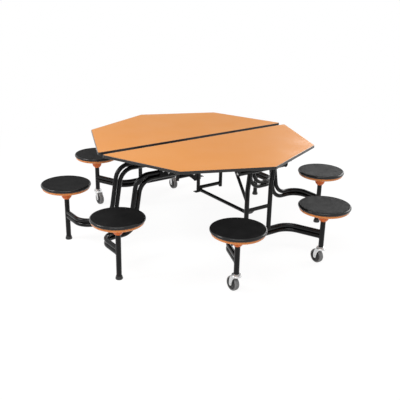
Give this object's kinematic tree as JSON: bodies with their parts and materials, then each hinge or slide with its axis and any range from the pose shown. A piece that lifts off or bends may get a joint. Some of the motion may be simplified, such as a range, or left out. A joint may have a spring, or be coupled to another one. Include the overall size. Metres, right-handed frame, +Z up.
{
  "type": "folding cafeteria table with attached stools",
  "caption": "Folding table with a split octagonal top, tube frame on casters and glides, and attached round stools; the two halves fold up together for rolling away.",
  "frame": {"origin": "on the floor under the centre of the top", "axes": "+X along the split between the two halves of the top, -Y towards the front half, +Z up"},
  "size_m": [2.176, 2.254, 0.746],
  "materials": {
    "laminate": "orange laminate on board, satin",
    "edging": "dark vinyl edging, satin",
    "seat": "black, fine texture with a glossy rolled rim",
    "pan": "orange, semi gloss",
    "frame": "gloss black powder coat on steel tube",
    "zinc": "bright zinc plate",
    "fastener": "zinc plated steel",
    "spring_rod": "polished rod",
    "wheel": "grey, matte",
    "glide": "black nylon"
  },
  "bodies": {
    "caster_frame_front": {"front_caster_link_pivot": "frame", "front_caster_pivot_tube": "frame", "front_caster_rail_lower": "frame", "front_caster_rail_upper": "frame", "front_caster_stool_pans": "pan", "front_caster_stool_posts": "frame", "front_caster_uprights": "frame", "front_left_caster_seat": "seat", "front_right_caster_seat": "seat"},
    "top_front": {"front_top_board": "laminate", "front_top_edging": "edging", "front_top_brackets": "frame", "front_top_hinge_pins": "fastener", "front_top_screws": "fastener"},
    "link_front": {"front_lower_link": "frame"},
    "spring_body_front": {"front_spring_cylinder": "frame"},
    "spring_rod_front": {"front_spring_rod": "spring_rod"},
    "fork_front_left": {"front_left_caster_fork": "zinc"},
    "wheel_front_left": {"front_left_caster_wheel": "wheel"},
    "fork_front_right": {"front_right_caster_fork": "zinc"},
    "wheel_front_right": {"front_right_caster_wheel": "wheel"},
    "caster_frame_back": {"back_caster_link_pivot": "frame", "back_caster_pivot_tube": "frame", "back_caster_rail_lower": "frame", "back_caster_rail_upper": "frame", "back_caster_stool_pans": "pan", "back_caster_stool_posts": "frame", "back_caster_uprights": "frame", "back_left_caster_seat": "seat", "back_right_caster_seat": "seat"},
    "top_back": {"back_top_board": "laminate", "back_top_edging": "edging", "back_top_brackets": "frame", "back_top_hinge_pins": "fastener", "back_top_screws": "fastener"},
    "link_back": {"back_lower_link": "frame"},
    "spring_body_back": {"back_spring_cylinder": "frame"},
    "spring_rod_back": {"back_spring_rod": "spring_rod"},
    "fork_back_left": {"back_left_caster_fork": "zinc"},
    "wheel_back_left": {"back_left_caster_wheel": "wheel"},
    "fork_back_right": {"back_right_caster_fork": "zinc"},
    "wheel_back_right": {"back_right_caster_wheel": "wheel"},
    "centre_frame": {"frame_bolts": "fastener", "frame_gussets": "frame", "frame_hinge_lugs": "frame", "frame_link_pivots": "frame", "frame_ties": "frame", "glide_feet": "glide", "glide_stool_pans": "pan", "glide_stool_posts": "frame", "front_frame_hanger": "frame", "front_frame_inner_tube": "frame", "front_frame_outer_tube": "frame", "front_left_glide_seat": "seat", "front_right_glide_seat": "seat", "back_frame_hanger": "frame", "back_frame_inner_tube": "frame", "back_frame_outer_tube": "frame", "back_left_glide_seat": "seat", "back_right_glide_seat": "seat"}
  },
  "joints": [
    {"name": "fold_front", "type": "hinge", "parent": "caster_frame_front", "child": "top_front", "pos_m": [0, -0.714, 0.695], "axis": [1, 0, 0], "range_deg": [0, 85]},
    {"name": "centre_hinge_front", "type": "hinge", "parent": "top_front", "child": "centre_frame", "pos_m": [0, -0.147, 0.695], "axis": [1, 0, 0], "range_deg": [-85, 0]},
    {"name": "centre_hinge_back", "type": "hinge", "parent": "centre_frame", "child": "top_back", "pos_m": [0, 0.147, 0.695], "axis": [1, 0, 0], "range_deg": [-85, 0]},
    {"name": "caster_hinge_back", "type": "hinge", "parent": "top_back", "child": "caster_frame_back", "pos_m": [0, 0.714, 0.695], "axis": [1, 0, 0], "range_deg": [0, 85]},
    {"name": "link_hinge_front", "type": "hinge", "parent": "caster_frame_front", "child": "link_front", "pos_m": [0, -0.669, 0.384], "axis": [1, 0, 0], "range_deg": [0, 85]},
    {"name": "link_hinge_back", "type": "hinge", "parent": "centre_frame", "child": "link_back", "pos_m": [0, 0.102, 0.384], "axis": [1, 0, 0], "range_deg": [-85, 0]},
    {"name": "spring_hinge_front", "type": "hinge", "parent": "top_front", "child": "spring_body_front", "pos_m": [-0.046, -0.45, 0.694], "axis": [1, 0, 0], "range_deg": [-48, 0]},
    {"name": "spring_hinge_back", "type": "hinge", "parent": "top_back", "child": "spring_body_back", "pos_m": [0.046, 0.45, 0.694], "axis": [1, 0, 0], "range_deg": [0, 48]},
    {"name": "spring_slide_front", "type": "slide", "parent": "spring_body_front", "child": "spring_rod_front", "axis": [0, -0.577, -0.8167], "range_m": [0, 0.195]},
    {"name": "spring_slide_back", "type": "slide", "parent": "spring_body_back", "child": "spring_rod_back", "axis": [0, 0.577, -0.8167], "range_m": [0, 0.195]},
    {"name": "swivel_front_left", "type": "hinge", "parent": "caster_frame_front", "child": "fork_front_left", "pos_m": [-0.375, -0.947, 0.1205], "axis": [0, 0, 1], "continuous": true},
    {"name": "spin_front_left", "type": "hinge", "parent": "fork_front_left", "child": "wheel_front_left", "pos_m": [-0.375, -0.917, 0.05], "axis": [1, 0, 0], "continuous": true},
    {"name": "swivel_front_right", "type": "hinge", "parent": "caster_frame_front", "child": "fork_front_right", "pos_m": [0.375, -0.947, 0.1205], "axis": [0, 0, 1], "continuous": true},
    {"name": "spin_front_right", "type": "hinge", "parent": "fork_front_right", "child": "wheel_front_right", "pos_m": [0.375, -0.917, 0.05], "axis": [1, 0, 0], "continuous": true},
    {"name": "swivel_back_left", "type": "hinge", "parent": "caster_frame_back", "child": "fork_back_left", "pos_m": [0.375, 0.947, 0.1205], "axis": [0, 0, 1], "continuous": true},
    {"name": "spin_back_left", "type": "hinge", "parent": "fork_back_left", "child": "wheel_back_left", "pos_m": [0.375, 0.917, 0.05], "axis": [1, 0, 0], "continuous": true},
    {"name": "swivel_back_right", "type": "hinge", "parent": "caster_frame_back", "child": "fork_back_right", "pos_m": [-0.375, 0.947, 0.1205], "axis": [0, 0, 1], "continuous": true},
    {"name": "spin_back_right", "type": "hinge", "parent": "fork_back_right", "child": "wheel_back_right", "pos_m": [-0.375, 0.917, 0.05], "axis": [1, 0, 0], "continuous": true}
  ],
  "couplings": [
    {"joint": "centre_hinge_front", "follows": "fold_front", "ratio": -1},
    {"joint": "centre_hinge_back", "follows": "fold_front", "ratio": -1},
    {"joint": "caster_hinge_back", "follows": "fold_front", "ratio": 1},
    {"joint": "link_hinge_front", "follows": "fold_front", "ratio": 1},
    {"joint": "link_hinge_back", "follows": "fold_front", "ratio": -1},
    {"joint": "spring_hinge_front", "follows": "fold_front", "ratio": -0.5608},
    {"joint": "spring_hinge_back", "follows": "fold_front", "ratio": 0.5608},
    {"joint": "spring_slide_front", "follows": "fold_front", "m_per_rad": 0.13127},
    {"joint": "spring_slide_back", "follows": "fold_front", "m_per_rad": 0.13127}
  ]
}
